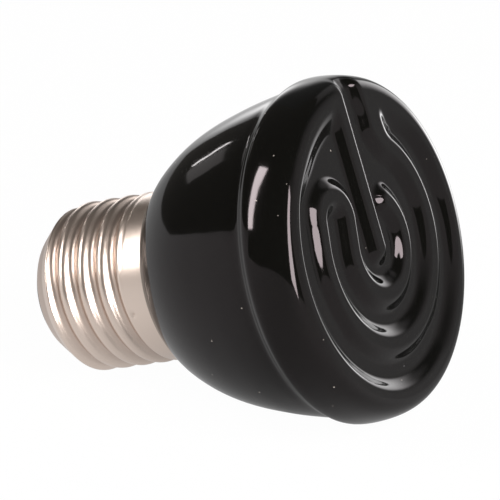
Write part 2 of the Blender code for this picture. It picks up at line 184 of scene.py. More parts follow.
NOTCH_CENTRE = 3.7  # of the notch through the rim, between the finger and the bridge
NOTCH_HALF = 2.4
NOTCH_FLANK = 2.1
BRIDGE_FOOT = 1.2  # right of the finger, the rim's flank starts this much further in
CORNER_FOOT, CORNER_STRETCH = 1.9, 1.6  # left of it, the flank starts further in and is longer
CORNER_END, CORNER_TURN = 60.0, 25.0  # degrees from the finger where both end, and their run
FADE_FROM, FADE_OVER = 24.6, 2.0  # radius over which the relief ends, on the rounded edge of the rim

# Walls that face left are steeper than the rest, by at most STEEP_SHARE, and some at the lower right gentler
STEEP_SHARE = 0.24
INNER_STEEP_FROM, INNER_STEEP_RUN = 1.0, 2.0
OUTER_STEEP_END, OUTER_STEEP_RUN = 38, 14
BRIDGE_STEEP, BRIDGE_STEEP_AT, BRIDGE_STEEP_RUN = 0.9, 18.6, 2.2
GENTLE_FROM, GENTLE_RUN = 7.0, 4.0
GENTLE_TOP, GENTLE_FALL = 4.0, 8.0
GENTLE_BEAD = 0.6
GENTLE_RIM = 0.45


def on_circle(centre, radius, degrees):
    """The point of a circle at an angle."""
    angle = math.radians(degrees)
    return centre[0] + radius * math.cos(angle), centre[1] + radius * math.sin(angle)


def to_segment(x, y, a, b):
    """Distance to the straight line from a to b: to the projection on it, held between its two ends."""
    dx, dy = b[0] - a[0], b[1] - a[1]
    t = np.clip(((x - a[0]) * dx + (y - a[1]) * dy) / (dx * dx + dy * dy), 0.0, 1.0)
    return np.hypot(x - a[0] - t * dx, y - a[1] - t * dy)


def to_arc(x, y, centre, radius, start, end):
    """Distance to an arc, counter-clockwise from start to end in degrees: radial, or else to an end."""
    angle = np.degrees(np.arctan2(y - centre[1], x - centre[0]))
    inside = (angle - start) % 360 <= (end - start) % 360
    along = np.abs(np.hypot(x - centre[0], y - centre[1]) - radius)
    ends = [on_circle(centre, radius, degrees) for degrees in (start, end)]
    beyond = np.minimum(*[np.hypot(x - px, y - py) for px, py in ends])
    return np.where(inside, along, beyond)


def hairpin_distance(x, y):
    """Distance to two parallel arms and the half circle that joins their tips."""
    angle = math.radians(ARMS_LEAVE - 90)
    ahead = (ARM_LENGTH * math.cos(angle), ARM_LENGTH * math.sin(angle))
    outer = on_circle(OUTER_RING_CENTRE, OUTER_RING, ARMS_LEAVE)
    inner = on_circle((0, 0), INNER_RING, ARMS_LEAVE)
    outer_tip = (outer[0] + ahead[0], outer[1] + ahead[1])
    inner_tip = (inner[0] + ahead[0], inner[1] + ahead[1])
    middle = ((outer_tip[0] + inner_tip[0]) / 2, (outer_tip[1] + inner_tip[1]) / 2)
    bend = to_arc(x, y, middle, math.dist(outer_tip, inner_tip) / 2, ARMS_LEAVE - 180, ARMS_LEAVE)
    arms = np.minimum(to_segment(x, y, outer, outer_tip), to_segment(x, y, inner, inner_tip))
    return np.minimum(arms, bend)


def bridge_distance(x, y):
    """Distance to the bend from the outer ring's end to the rim. It widens on the way, most of all on the
    right, where the flank is stretched too, so that the groove beside it runs out gently."""
    start = on_circle(OUTER_RING_CENTRE, OUTER_RING, OUTER_RING_END)
    centre = on_circle(start, BRIDGE_BEND, OUTER_RING_END)
    top = (centre[0] - BRIDGE_BEND, centre[1])
    bend = to_arc(x, y, centre, BRIDGE_BEND, 180, 180 + OUTER_RING_END)
    distance = np.minimum(bend, to_segment(x, y, top, (top[0], BRIDGE_END)))
    in_bend = np.hypot(x - centre[0], y - centre[1]) < BRIDGE_BEND
    right = np.where(y > top[1], x > top[0], in_bend)
    gain = ease((y - start[1]) / (top[1] - start[1]))
    spread = ease((y - top[1]) / SPREAD_RUN)
    beyond = distance - BEAD_TOP - BRIDGE_EXTRA * gain - BRIDGE_SPREAD * spread * right
    return BEAD_TOP + beyond / (1 + RUN_OUT_STRETCH * gain * right)


def steeper(distance, share):
    """The distance, stretched past the bead's top, so that the flank there has a shorter run."""
    stretched = BEAD_TOP + (distance - BEAD_TOP) / (1 - STEEP_SHARE * share)
    return np.where(distance > BEAD_TOP, stretched, distance)


def relief(x, y):
    """Depth below the bead's top: RELIEF_DEPTH times the lesser of the bead's and the rim's eased flanks."""
    turn = math.radians(FINGER_TURN - 90)
    u = x * math.cos(turn) + y * math.sin(turn)
    v = -x * math.sin(turn) + y * math.cos(turn)
    inner = to_arc(u, v, (0, 0), INNER_RING, ARMS_LEAVE, INNER_RING_END)
    outer = to_arc(u, v, OUTER_RING_CENTRE, OUTER_RING, ARMS_LEAVE, OUTER_RING_END)
    from_middle = np.hypot(u, v)
    inner_wall = (from_middle < INNER_RING) * ease((u - INNER_STEEP_FROM) / INNER_STEEP_RUN)
    from_left = np.abs(np.degrees(np.arctan2(v, -u)))
    outer_wall = (from_middle > OUTER_RING) * ease((OUTER_STEEP_END - from_left) / OUTER_STEEP_RUN) * (u < 0)
    bridge_wall = BRIDGE_STEEP * np.exp(-(((v - BRIDGE_STEEP_AT) / BRIDGE_STEEP_RUN) ** 2))
    gentle = ease((u - GENTLE_FROM) / GENTLE_RUN) * ease((GENTLE_TOP - v) / GENTLE_FALL)
    distance = np.minimum.reduce(
        [
            to_segment(u, v, (FINGER_PLACE, FINGER_START), (FINGER_PLACE, FINGER_END)),
            steeper(inner, inner_wall),
            steeper(outer, outer_wall - GENTLE_BEAD * gentle),
            steeper(hairpin_distance(u, v), outer_wall),
            steeper(bridge_distance(u, v), bridge_wall),
        ]
    )
    below_bead = ease((distance - BEAD_TOP) / BEAD_FLANK)
    radius = np.hypot(u - RIM_CENTRE[0], v - RIM_CENTRE[1])
    from_finger = np.degrees(np.arctan2(v, u)) - 90
    left = ease((CORNER_END - from_finger) / CORNER_TURN) * (u < FINGER_PLACE) * (v > 0)
    right = ease((CORNER_END + from_finger) / CORNER_TURN) * (u > FINGER_PLACE)
    foot = RIM_WALL - CORNER_FOOT * left - BRIDGE_FOOT * right
    on_rim = ease((radius - foot) / (BEAD_FLANK + CORNER_STRETCH * left + GENTLE_RIM * gentle))
    beside_notch = np.where(v > 0, ease((np.abs(u - NOTCH_CENTRE) - NOTCH_HALF) / NOTCH_FLANK), 1.0)
    fade = 1 - ease((from_middle - FADE_FROM) / FADE_OVER)
    return RELIEF_DEPTH * below_bead * (1 - on_rim * beside_notch) * fade


# %% [markdown]
# The ceramic body is cast or pressed in one piece, then fettled, glazed and fired, so every edge is soft.
# One turned grid runs from the middle of the face over the rim, the small step behind the flange and the
# bowl to the neck inside the cap. The rings are close together on the face, where the relief needs them.

# %% Glazed body
# The profile as (radius, s)
RIM_EDGE = [(23.5, 0.0), (24.65, 0.35), (25.45, 1.2), (26.0, 2.6), (26.35, 4.5), (26.5, 6.6)]
FLANGE_BACK = [(26.35, 7.8), (25.75, 8.7), (25.3, 9.4)]
BOWL = [(25.0, 11.4), (24.2, 15.6), (23.4, 18.8), (22.5, 21.9), (21.3, 25.1), (19.75, 28.2), (17.6, 31.4)]
BOWL_BACK = [(15.9, 33.2), (14.9, 34.05), (13.9, 34.3)]
NECK_RADIUS = 11.45
NECK_END = 50.0
NECK_EDGE = 1.0
LEAD_IN = 1.5  # a station this far inside the rim's edge sets the curve's direction there
FACE_RINGS = 130
BODY_STEPS = 3
BODY_AROUND = 500
RELIEF_REACH, RELIEF_BLEND = 8.0, 5.0


def glazed_body():
    """The turned profile, with every point near the face lowered by the relief at its x and y."""
    flat = RIM_EDGE[0][0]
    face = [(flat * (ring + 0.5) / FACE_RINGS, 0.0) for ring in range(FACE_RINGS)]
    stations = [(flat - LEAD_IN, 0.0)] + RIM_EDGE + FLANGE_BACK + BOWL + BOWL_BACK
    outside = smooth_curve(stations, BODY_STEPS)[BODY_STEPS:]
    fillet = NECK_EDGE / 2
    neck = [(NECK_RADIUS + fillet, BOWL_DEPTH), (NECK_RADIUS, BOWL_DEPTH + fillet)]
    neck += [(NECK_RADIUS, NECK_END - NECK_EDGE), (NECK_RADIUS - NECK_EDGE, NECK_END), (0.3, NECK_END)]
    points = turned_points(np.vstack([face, outside, neck]), BODY_AROUND)
    x, y, z = np.moveaxis(points, -1, 0)
    points[..., 2] = z - relief(x, y) * ease((z - LENGTH + RELIEF_REACH) / RELIEF_BLEND)
    return ring_mesh("glazed_body", points, closed_loop=False)


body = glazed_body()
print("glazed body", len(body.data.polygons), "faces")

# %% [markdown]
# The screw shell is a drawn brass cup with its thread rolled in, nickel plated. A helix swept by a profile
# would leave seams where the thread fades out, so each point of a turned tube moves towards the axis by the
# thread's depth there instead. The Edison thread is arcs of one radius, crest and root alike, that meet
# halfway up. The shell's end is drawn to a cone, as the photographed outline shows, and the whole shell sits
# a little above the body's axis, as a cemented cap does.

# %% Rolled screw shell
CREST_RADIUS = 13.22
THREAD_DEPTH = 1.0
ROOT_RADIUS = CREST_RADIUS - THREAD_DEPTH
PITCH = 3.629  # seven threads to the inch, as E27 has
THREAD_RUN = 1.8  # over which the thread comes up, and over which it fades
THREAD_START = BOWL_DEPTH + 3.9
THREAD_FULL = THREAD_START + THREAD_RUN
LIP_LENGTH = 1.6
LIP_RADIUS = 9.9
THREAD_GONE = SHELL_END - LIP_LENGTH
THREAD_FADE = THREAD_GONE - THREAD_RUN
CREST_AT, CREST_ANGLE = BOWL_DEPTH + 9.2, 78.4  # one point of the crest
SHELL_WALL = 0.35
COLLAR_EDGE = [(-0.35, 34.66), (-0.22, 34.6), (-0.06, 34.66), (0.0, 34.95)]  # from CREST_RADIUS, and s
INSIDE_START = 34.8
SHOULDER_SLOPE = 0.84  # growth of the cone's radius per mm from the shell's end
SHOULDER_CORNER = 0.25
STAKE_AT = BOWL_DEPTH + 4.0
STAKE_ANGLES = (191.0, 311.0, 71.0)
STAKE_DEPTH = 0.28
STAKE_RADIUS = 0.4
SHELL_LIFT = 0.18  # of the shell above the body's axis
SHELL_AROUND = 256
WALL_RINGS, INSIDE_RINGS = 210, 70
LIP_RINGS, LIP_INSIDE_RINGS = 12, 8


def thread_sink(behind, angle):
    """0 at a crest to 1 at a root: a circular arc off the crest, then one off the root, on a helix."""
    quarter = PITCH / 4
    arc = (quarter**2 + (THREAD_DEPTH / 2) ** 2) / THREAD_DEPTH
    crest = CREST_AT - PITCH * (angle - CREST_ANGLE) / 360
    off = np.abs((behind - crest + PITCH / 2) % PITCH - PITCH / 2)
    by_crest = arc - np.sqrt(arc**2 - np.minimum(off, quarter) ** 2)
    by_root = arc - np.sqrt(arc**2 - np.minimum(PITCH / 2 - off, quarter) ** 2)
    sink = np.where(off < quarter, by_crest, THREAD_DEPTH - by_root) / THREAD_DEPTH
    start = ease((behind - THREAD_START) / (THREAD_FULL - THREAD_START))
    end = ease((behind - THREAD_FADE) / (THREAD_GONE - THREAD_FADE))
    return sink * start * (1 - end) + end


def stake_depth(behind, angle):
    """Depth of the three staking marks: a round-bottomed bump, exp(-(distance / radius)^2), at each."""
    from_each = (angle[..., None] - np.array(STAKE_ANGLES) + 180) % 360 - 180
    distance = np.hypot(np.radians(from_each) * CREST_RADIUS, behind[..., None] - STAKE_AT)
    return STAKE_DEPTH * np.exp(-((distance / STAKE_RADIUS) ** 2)).sum(-1)


def lip_curve(inset, steps):
    """The turned-in end: a quarter ellipse from the root to the lip's edge, moved inwards by inset."""
    turn = np.linspace(0, np.pi / 2, steps)
    across, along = ROOT_RADIUS - LIP_RADIUS - inset, LIP_LENGTH - inset
    return np.stack([LIP_RADIUS + across * np.cos(turn), THREAD_GONE + along * np.sin(turn)], -1)


def below_shoulder(radius, behind, inset):
    """The radius held inside the cone of the shell's end by a smooth minimum: r - (d + root(d^2 + c^2)) / 2,
    where d is how far r is past the cone and c rounds the corner between the two."""
    past = radius - (LIP_RADIUS - inset + SHOULDER_SLOPE * np.maximum(SHELL_END - behind, 0.0))
    return radius - 0.5 * (past + np.hypot(past, SHOULDER_CORNER))


def rolled_shell():
    """Outside, lip and inside as one loop of rings. Thread, stakes and shoulder are then taken off it."""
    collar = smooth_curve([(CREST_RADIUS + off, behind) for off, behind in COLLAR_EDGE], 4)[:-1]
    wall_places = np.linspace(COLLAR_EDGE[-1][1], THREAD_GONE, WALL_RINGS)
    wall = [(CREST_RADIUS, behind) for behind in wall_places]
    inside_places = np.linspace(THREAD_GONE, INSIDE_START, INSIDE_RINGS)
    inside = [(CREST_RADIUS - SHELL_WALL, behind) for behind in inside_places]
    sunk = np.array([THREAD_DEPTH, 0.0])
    lip = lip_curve(0.0, LIP_RINGS)[1:] + sunk
    lip_inside = lip_curve(SHELL_WALL, LIP_INSIDE_RINGS)[:0:-1] + sunk
    points = turned_points(np.vstack([collar, wall, lip, lip_inside, inside]), SHELL_AROUND)
    x, y, z = np.moveaxis(points, -1, 0)
    radius, angle, behind = np.hypot(x, y), np.degrees(np.arctan2(y, x)), LENGTH - z
    sink, stakes = thread_sink(behind, angle), stake_depth(behind, angle)
    inset = np.zeros(len(points))
    inset[len(collar) + len(wall) + len(lip) :] = SHELL_WALL / math.cos(math.atan(SHOULDER_SLOPE))
    rolled = radius - THREAD_DEPTH * sink - stakes
    points[..., :2] *= (below_shoulder(rolled, behind, inset[:, None]) / radius)[..., None]
    points[..., 1] += SHELL_LIFT
    piece = ring_mesh("rolled_shell", points, closed_loop=True)
    for name, values in (("groove", np.maximum(sink, stakes / STAKE_DEPTH)), ("along", behind)):
        piece.data.attributes.new(name, "FLOAT", "POINT").data.foreach_set("value", values.ravel())
    return piece


shell = rolled_shell()
print("rolled shell", len(shell.data.polygons), "faces")

# %% [markdown]
# The end of the cap is three small turned pieces: black glass that is pressed hot into the shell, the
# stamped contact on its boss, and the mound of solder over the lead. Their edges are rounded by short
# quadratic curves, because a sharp edge never catches the light.

# %% End of the cap
CONTACT_RADIUS = 4.75
CONTACT_FACE = 0.6
CONTACT_WALL = 0.4
CONTACT_SKIRT = 1.0
CONTACT_EDGE = 0.22
CONTACT_AROUND = 128
GLASS_INNER = SHELL_END - 3.0
GLASS_STEP = SHELL_END - 0.9  # where it narrows to pass the shell's end
GLASS_CONE = 1.0
GLASS_LEDGE = 0.85  # width of the flat round the contact
GLASS_EDGE = 0.3
GLASS_AROUND = 160
LEAD_HOLE = 0.8
MOUND_FOOT = [(0.2, 0.0), (1.2, 0.0)]  # radius and height above the mound's base, and so are the next two
MOUND_SIDE = [(1.82, 0.0), (1.9, 0.12), (1.72, 0.42), (1.4, 0.62), (1.1, SOLDER_HEIGHT)]
MOUND_TOP = [(0.6, SOLDER_HEIGHT), (0.2, SOLDER_HEIGHT)]
MOUND_AROUND = 96


def rounded_loop(corners, radius, steps=5):
    """A closed outline with each corner c cut by a quadratic curve between points on its two sides."""
    c = np.array(corners, float)
    towards = [np.roll(c, 1, axis=0) - c, np.roll(c, -1, axis=0) - c]
    lengths = [np.linalg.norm(side, axis=1, keepdims=True) for side in towards]
    cuts = [c + side * np.minimum(radius / size, 0.45) for side, size in zip(towards, lengths)]
    first, middle, last = cuts[0][:, None], c[:, None], cuts[1][:, None]
    t = np.linspace(0, 1, steps)[None, :, None]
    return ((1 - t) ** 2 * first + 2 * t * (1 - t) * middle + t**2 * last).reshape(-1, 2)


def glass_insulator():
    """From the hole out behind the shell's cone, through its end, and up a cone to the contact's boss."""
    inside = LIP_RADIUS - GAP
    ledge, seat = LENGTH - CONTACT_SKIRT - GAP, LENGTH - CONTACT_FACE - GAP
    boss = CONTACT_RADIUS - CONTACT_WALL - GAP
    outline = [(LEAD_HOLE, GLASS_INNER), (NECK_RADIUS - GAP, GLASS_INNER), (inside - GAP, GLASS_STEP)]
    outline += [(inside - GAP, SHELL_END), (inside - GLASS_CONE, (SHELL_END + ledge) / 2)]
    outline += [(CONTACT_RADIUS + GLASS_LEDGE, ledge), (boss, ledge), (boss, seat), (LEAD_HOLE, seat)]
    points = turned_points(rounded_loop(outline, GLASS_EDGE), GLASS_AROUND)
    return ring_mesh("glass_insulator", points, closed_loop=True)


def contact_cap():
    """A shallow cup upside down, with a hole for the lead."""
    rim = CONTACT_RADIUS
    outline = [(LEAD_HOLE, LENGTH - CONTACT_FACE), (rim - CONTACT_WALL, LENGTH - CONTACT_FACE)]
    outline += [(rim - CONTACT_WALL, LENGTH - CONTACT_SKIRT), (rim, LENGTH - CONTACT_SKIRT)]
    outline += [(rim, LENGTH), (LEAD_HOLE, LENGTH)]
    points = turned_points(rounded_loop(outline, CONTACT_EDGE), CONTACT_AROUND)
    return ring_mesh("contact_cap", points, closed_loop=True)


def contact_mound():
    """The solder: a flat base, a swelling side and a flat top."""
    profile = np.vstack([MOUND_FOOT, smooth_curve(MOUND_SIDE, 6), MOUND_TOP]) + [0.0, LENGTH + GAP]
    return ring_mesh("contact_mound", turned_points(profile, MOUND_AROUND), closed_loop=False)


insulator, contact, mound = glass_insulator(), contact_cap(), contact_mound()
for piece in (insulator, contact, mound):
    print(piece.name, len(piece.data.polygons), "faces")

# %% [markdown]
# Shader maths. A procedural finish is arithmetic on noise, so a small class lets sums and products be
# written as such, and one method makes every other node. That keeps a material as short as its formula.

# %% Shader helper


class Wire:
    """One output socket. Operators add Math nodes, and node() adds any other kind beside it."""

    def __init__(self, tree, socket=None):
        self.tree = tree
        self.socket = socket

    def node(self, kind, settings=None, sockets=None, output=0):
        """A node of this kind: its settings first, then values or wires by the name or place of a socket."""
        made = self.tree.nodes.new("ShaderNode" + kind)
        for name, value in (settings or {}).items():
            setattr(made, name, value)
        for name, value in (sockets or {}).items():
            if isinstance(value, Wire):
                self.tree.links.new(value.socket, made.inputs[name])
            else:
                made.inputs[name].default_value = value
        return Wire(self.tree, made.outputs[output])

    def maths(self, operation, first, second):
        return self.node("Math", {"operation": operation}, {0: first, 1: second})

    def __add__(self, other):
        return self.maths("ADD", self, other)

    def __sub__(self, other):
        return self.maths("SUBTRACT", self, other)

    def __rsub__(self, other):
        return self.maths("SUBTRACT", other, self)

    def __mul__(self, other):
        return self.maths("MULTIPLY", self, other)

    def __gt__(self, other):
        return self.maths("GREATER_THAN", self, other)

    __radd__ = __add__
    __rmul__ = __mul__

    def between(self, low, high):
        """0 at low to 1 at high, held there and eased at both ends."""
        sockets = {"Value": self, "From Min": low, "From Max": high}
        return self.node("MapRange", {"interpolation_type": "SMOOTHSTEP"}, sockets)

    def noise(self, scale, detail):
        """Fractal noise at this place, 0 to 1, at a scale in features to the metre."""
        return self.node("TexNoise", {}, {"Scale": scale, "Detail": detail, "Vector": self})

    def cells(self, scale, output):
        """Voronoi cells at this place: the distance from each cell's seed, or the cell's random colour."""
        return self.node("TexVoronoi", {}, {"Scale": scale, "Vector": self}, output)

    def channel(self, output):
        """One channel of this colour."""
        return self.node("SeparateColor", {}, {"Color": self}, output)

    def bumped(self):
        """The normal that this height in metres gives."""
        return self.node("Bump", {}, {"Height": self, "Distance": 1.0, "Strength": 1.0})

    def blend(self, first, second):
        """The first colour where this is 0, the second where it is 1."""
        return self.node("Mix", {"data_type": "RGBA"}, {0: self, 6: first, 7: second}, output=2)


def finish(name, colour, metallic=0.0):
    """A Principled material. It comes back with a wire on Object coordinates and a function that sets its
    sockets."""
    made = bpy.data.materials.new(name)
    made.use_nodes = True
    tree = made.node_tree
    shader = tree.nodes["Principled BSDF"]
    shader.inputs["Base Color"].default_value = (*colour, 1.0)
    shader.inputs["Metallic"].default_value = metallic

    def put(socket, value):
        if isinstance(value, Wire):
            tree.links.new(value.socket, shader.inputs[socket])
        else:
            shader.inputs[socket].default_value = value

    return made, Wire(tree).node("TexCoord", output="Object"), put


def dress(piece, material, node):
    """The piece gets one material, rides on the only body and stands for the CAD node."""
    piece.data.materials.clear()
    piece.data.materials.append(material)
    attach(piece, "root")
    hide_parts(node)


# %% [markdown]
# Black glaze is glass over a dark body, poured on and melted. It is very smooth, but its thickness wanders,
# so straight reflections come back wavy at two scales: about a centimetre and about three millimetres. Gas
# that left the body in the kiln leaves a few pinholes, and pale specks painted into the colour here and
# there are painted highlights, like small glints in pinholes. Each point of a Voronoi cell knows its
# distance from the cell's seed, which makes a sprinkling of dots if only a few cells are let through.

# %% Black glaze
GLAZE = (0.0021, 0.0022, 0.0018)
PAINTED_SPECK = (0.30, 0.27, 0.24)
GLAZE_IOR = 1.34
GLAZE_TINT = (1.0, 0.86, 0.90, 1.0)
WAVE_SCALE, WAVE_HEIGHT = 95.0, 0.00003
RIPPLE_SCALE, RIPPLE_HEIGHT = 320.0, 0.000012
PINHOLE_SCALE, PINHOLE_SIZE, PINHOLE_DEPTH = 230.0, 0.075, 0.00012
PINHOLES_ABOVE = 0.955
PAINTED_SPECK_SCALE, PAINTED_SPECK_CORE, PAINTED_SPECK_EDGE = 400.0, 0.035, 0.07
PAINTED_SPECKS_ABOVE = 0.72


def black_glaze():
    """Dark gloss: height = waves + ripples - pinholes, in metres, into one Bump node."""
    made, place, put = finish("black_glaze", GLAZE)
    waves = place.noise(WAVE_SCALE, 1.0) * WAVE_HEIGHT
    ripples = place.noise(RIPPLE_SCALE, 1.0) * RIPPLE_HEIGHT
    holed = place.cells(PINHOLE_SCALE, "Color").channel("Red") > PINHOLES_ABOVE
    pit = (1.0 - place.cells(PINHOLE_SCALE, "Distance").between(0.0, PINHOLE_SIZE)) * holed
    # Painted highlights: pale specks set into the base colour, standing in for small glints in the pinholes
    speckled = place.cells(PAINTED_SPECK_SCALE, "Color").channel("Green") > PAINTED_SPECKS_ABOVE
    painted_speck = (1.0 - place.cells(PAINTED_SPECK_SCALE, "Distance").between(PAINTED_SPECK_CORE, PAINTED_SPECK_EDGE)) * speckled
    put("Base Color", painted_speck.blend((*GLAZE, 1.0), (*PAINTED_SPECK, 1.0)))
    put("Roughness", 0.05 + 0.05 * place.noise(60.0, 3.0) + 0.3 * painted_speck)
    put("Normal", (waves + ripples - pit * PINHOLE_DEPTH).bumped())
    put("IOR", GLAZE_IOR)
    put("Specular Tint", GLAZE_TINT)
    return made


dress(body, black_glaze(), "ceramic_body")
print("glazed")

# %% [markdown]
# Nickel on pressed brass is a warm grey mirror that handling and the rolling dies have made satin. The dies
# leave fine lines round the shell, so their noise runs along the axis only. The roots of the thread and the
# staking marks are painted darker, as painted shade in the hollows with some grime, and are a little duller
# than the crests, which rub on the holder.

# %% Nickel plate
NICKEL = (0.74, 0.62, 0.545)
NICKEL_ROOT = (0.50, 0.40, 0.345)
LINE_SCALE, LINE_HEIGHT = 9.0, 0.0000035
DENT_SCALE, DENT_HEIGHT = 260.0, 0.00002
CLOUD_SCALE = 170.0
SHADE_AND_GRIME_FROM = 0.45


def nickel_plate():
    """Colour and roughness follow the groove attribute, the colour darker there as painted shade with some
    grime;
    the bump is rolling lines and faint dents.
    """
    made, place, put = finish("nickel_plate", NICKEL, metallic=1.0)
    groove = place.node("Attribute", {"attribute_name": "groove"}, output="Fac")
    along = place.node("Attribute", {"attribute_name": "along"}, output="Fac")
    on_line = {"W": along, "Scale": LINE_SCALE, "Detail": 4.0}
    lines = place.node("TexNoise", {"noise_dimensions": "1D"}, on_line)
    cloud = place.noise(CLOUD_SCALE, 4.0)
    # Painted shade with some grime: the colour darkens in the thread's roots and the staking marks
    shade_and_grime = groove.between(SHADE_AND_GRIME_FROM, 1.0) * (0.35 + 0.65 * cloud)
    put("Base Color", shade_and_grime.blend((*NICKEL, 1.0), (*NICKEL_ROOT, 1.0)))
    put("Roughness", 0.24 + 0.10 * cloud + 0.08 * shade_and_grime + 0.04 * lines)
    put("Normal", (lines * LINE_HEIGHT + place.noise(DENT_SCALE, 2.0) * DENT_HEIGHT).bumped())
    return made


dress(shell, nickel_plate(), "screw_shell")
print("plated")

# %% [markdown]
# The small parts at the end: cap glass is black and glossy with faint flow lines, the contact is plated as
# the shell is but scuffed on its flat, and solder sets dull with a fine crust. The leads are drawn wire.

# %% Glass, contact, solder and wire
# Colour, metallic, roughness and how far it varies, then the scale and height of the noise in metres
SMALL_FINISHES = {
    "black_glass": ((0.011, 0.011, 0.013), 0.0, 0.12, 0.10, 300.0, 0.00002),
    "contact_metal": ((0.70, 0.64, 0.54), 1.0, 0.28, 0.16, 700.0, 0.000006),
    "solder": ((0.56, 0.56, 0.57), 1.0, 0.36, 0.20, 1500.0, 0.000012),
    "nickel_wire": ((0.60, 0.58, 0.55), 1.0, 0.32, 0.12, 1200.0, 0.000004),
}


def mottled(name, colour, metallic, roughness, spread, scale, height):
    """A plain finish with noise in its roughness and height."""
    made, place, put = finish(name, colour, metallic)
    cloud = place.noise(scale, 4.0)
    put("Roughness", roughness + spread * (cloud - 0.5))
    put("Normal", (cloud * height).bumped())
    return made


small = {name: mottled(name, *values) for name, values in SMALL_FINISHES.items()}
solder, wire = small["solder"], small["nickel_wire"]
dress(insulator, small["black_glass"], "cap_insulator")
dress(contact, small["contact_metal"], "centre_contact")
dress(mound, solder, "contact_solder")
for node, material in (("centre_lead", wire), ("side_lead", wire), ("side_solder", solder)):
    frame["nodes"][node].data.materials.clear()
    frame["nodes"][node].data.materials.append(material)
    print(node, "gets", material.name)

# %% [markdown]
# The emitter was photographed on a white table in a dark room: the glaze shows the pale table below, a low
# pale card at the left, black above them, and the lamps. A world that is white all round would turn the
# glaze grey, so the white comes from the table, the low wall round it and a sheet behind, and the world
# stays dim. What the camera sees of them is mostly a steady white of their own, which keeps the soft shadow
# faint. What gloss mirrors is a painted reflection: a glow whose level is stored at each of their points, so
# it can vary with the direction, with a painted shadow below the object and painted highlights behind it.

# %% Table and backdrop
TABLE_RADIUS = 3.4
WALL_HEIGHT = 0.16
SHEET_RADIUS = 1.5
SHEET_HEIGHT = 1.9
FIRST_RING, RING_GROWTH, TABLE_RINGS = 0.004, 1.25, 30
TABLE_CORNER = [(0.16, 0.0), (0.05, 0.015), (0.0, 0.05), (0.0, WALL_HEIGHT)]  # in from the edge, and height
SHEET_FROM, SHEET_TO = 86.0, 230.0
CARD_RADIUS = 0.5
CARD_FROM, CARD_TO = -104.0, -40.0
CARD_LOW, CARD_HIGH = -0.02, 0.18
LIGHT_RAYS = ("Is Camera Ray", "Is Glossy Ray", "Is Transmission Ray")
SEEN_SHARE = 0.98

# Painted reflection levels, where 1 is white. In degrees, a bump is (centre, width) and an eased edge
# (start, run).
LEVEL_FROM = (0.015, 0.0, 0.028)
BRIGHTEST = 6.0
SIDE_LEVEL = 0.85
AHEAD_DIP, AHEAD = 0.28, (0, 30)
BACK_DIP, BACK = 0.64, (-172, 62)
BAND_LIFT, BAND = 0.6, (-148, 11)
UNDER_DIP, UNDER = 0.5, (22, 50)
TOP_FROM, TOP_RUN = 18, 40
BACK_TOP_LOWER, BACK_TOP_SHORTER, TO_BACK = 12, 20, (130, 35)
BACK_LIGHT, LIGHT_CORE = 3.0, (174, 9)
LIGHT_LEFT, LIGHT_RIGHT, LIGHT_FOOT, LIGHT_HEAD = (150, 20), (180, 12), (-14, 8), (13, 20)
BACK_GLINT, GLINT_TURN, GLINT_RISE = 3.0, (-139, 6), (10, 7)
ROOM_LEVEL = 0.10
ROOM_BEHIND, BEHIND_LEFT, BEHIND_RIGHT = 0.35, (150, 20), (184, 14)


def white_sweep(name):
    """White diffuse for the lamps' light. Camera rays see mostly a steady white glow, and mirrored rays a
    painted
    reflection: a glow at a share of BRIGHTEST, which is the attribute "level"."""
    made = bpy.data.materials.new(name)
    made.use_nodes = True
    tree = made.node_tree
    tree.nodes.remove(tree.nodes["Principled BSDF"])
    base = Wire(tree)
    seen, glossy, through = (base.node("LightPath", output=ray) for ray in LIGHT_RAYS)
    level = base.node("Attribute", {"attribute_name": "level"}, output="Fac")
    diffuse = base.node("BsdfDiffuse", {}, {"Color": (0.8, 0.8, 0.8, 1.0)})
    glow = base.node("Emission", {}, {"Color": (1.0, 1.0, 1.0, 1.0), "Strength": BRIGHTEST})
    plain = base.node("Emission", {}, {"Color": (1.0, 1.0, 1.0, 1.0), "Strength": 1.0})
    unlit = base.node("BsdfDiffuse", {}, {"Color": (0.0, 0.0, 0.0, 1.0)})
    # Painted reflection: gloss sees a glow at the stored level, black where the level is 0
    mirrored = base.node("MixShader", {}, {0: level, 1: unlit, 2: glow})
    direct = base.node("MixShader", {}, {0: seen * SEEN_SHARE, 1: diffuse, 2: plain})
    surface = base.node("MixShader", {}, {0: glossy + through, 1: direct, 2: mirrored})
    tree.links.new(surface.socket, tree.nodes["Material Output"].inputs["Surface"])
    return made


def bump(azimuth, centre, width):
    """exp(-(d / width)^2), d the turn from centre in degrees, -180 to 180."""
    turn = (azimuth - centre + 180) % 360 - 180
    return np.exp(-((turn / width) ** 2))


def edge(value, start, run):
    """0 at the start to 1 after the run, eased."""
    return ease((value - start) / run)


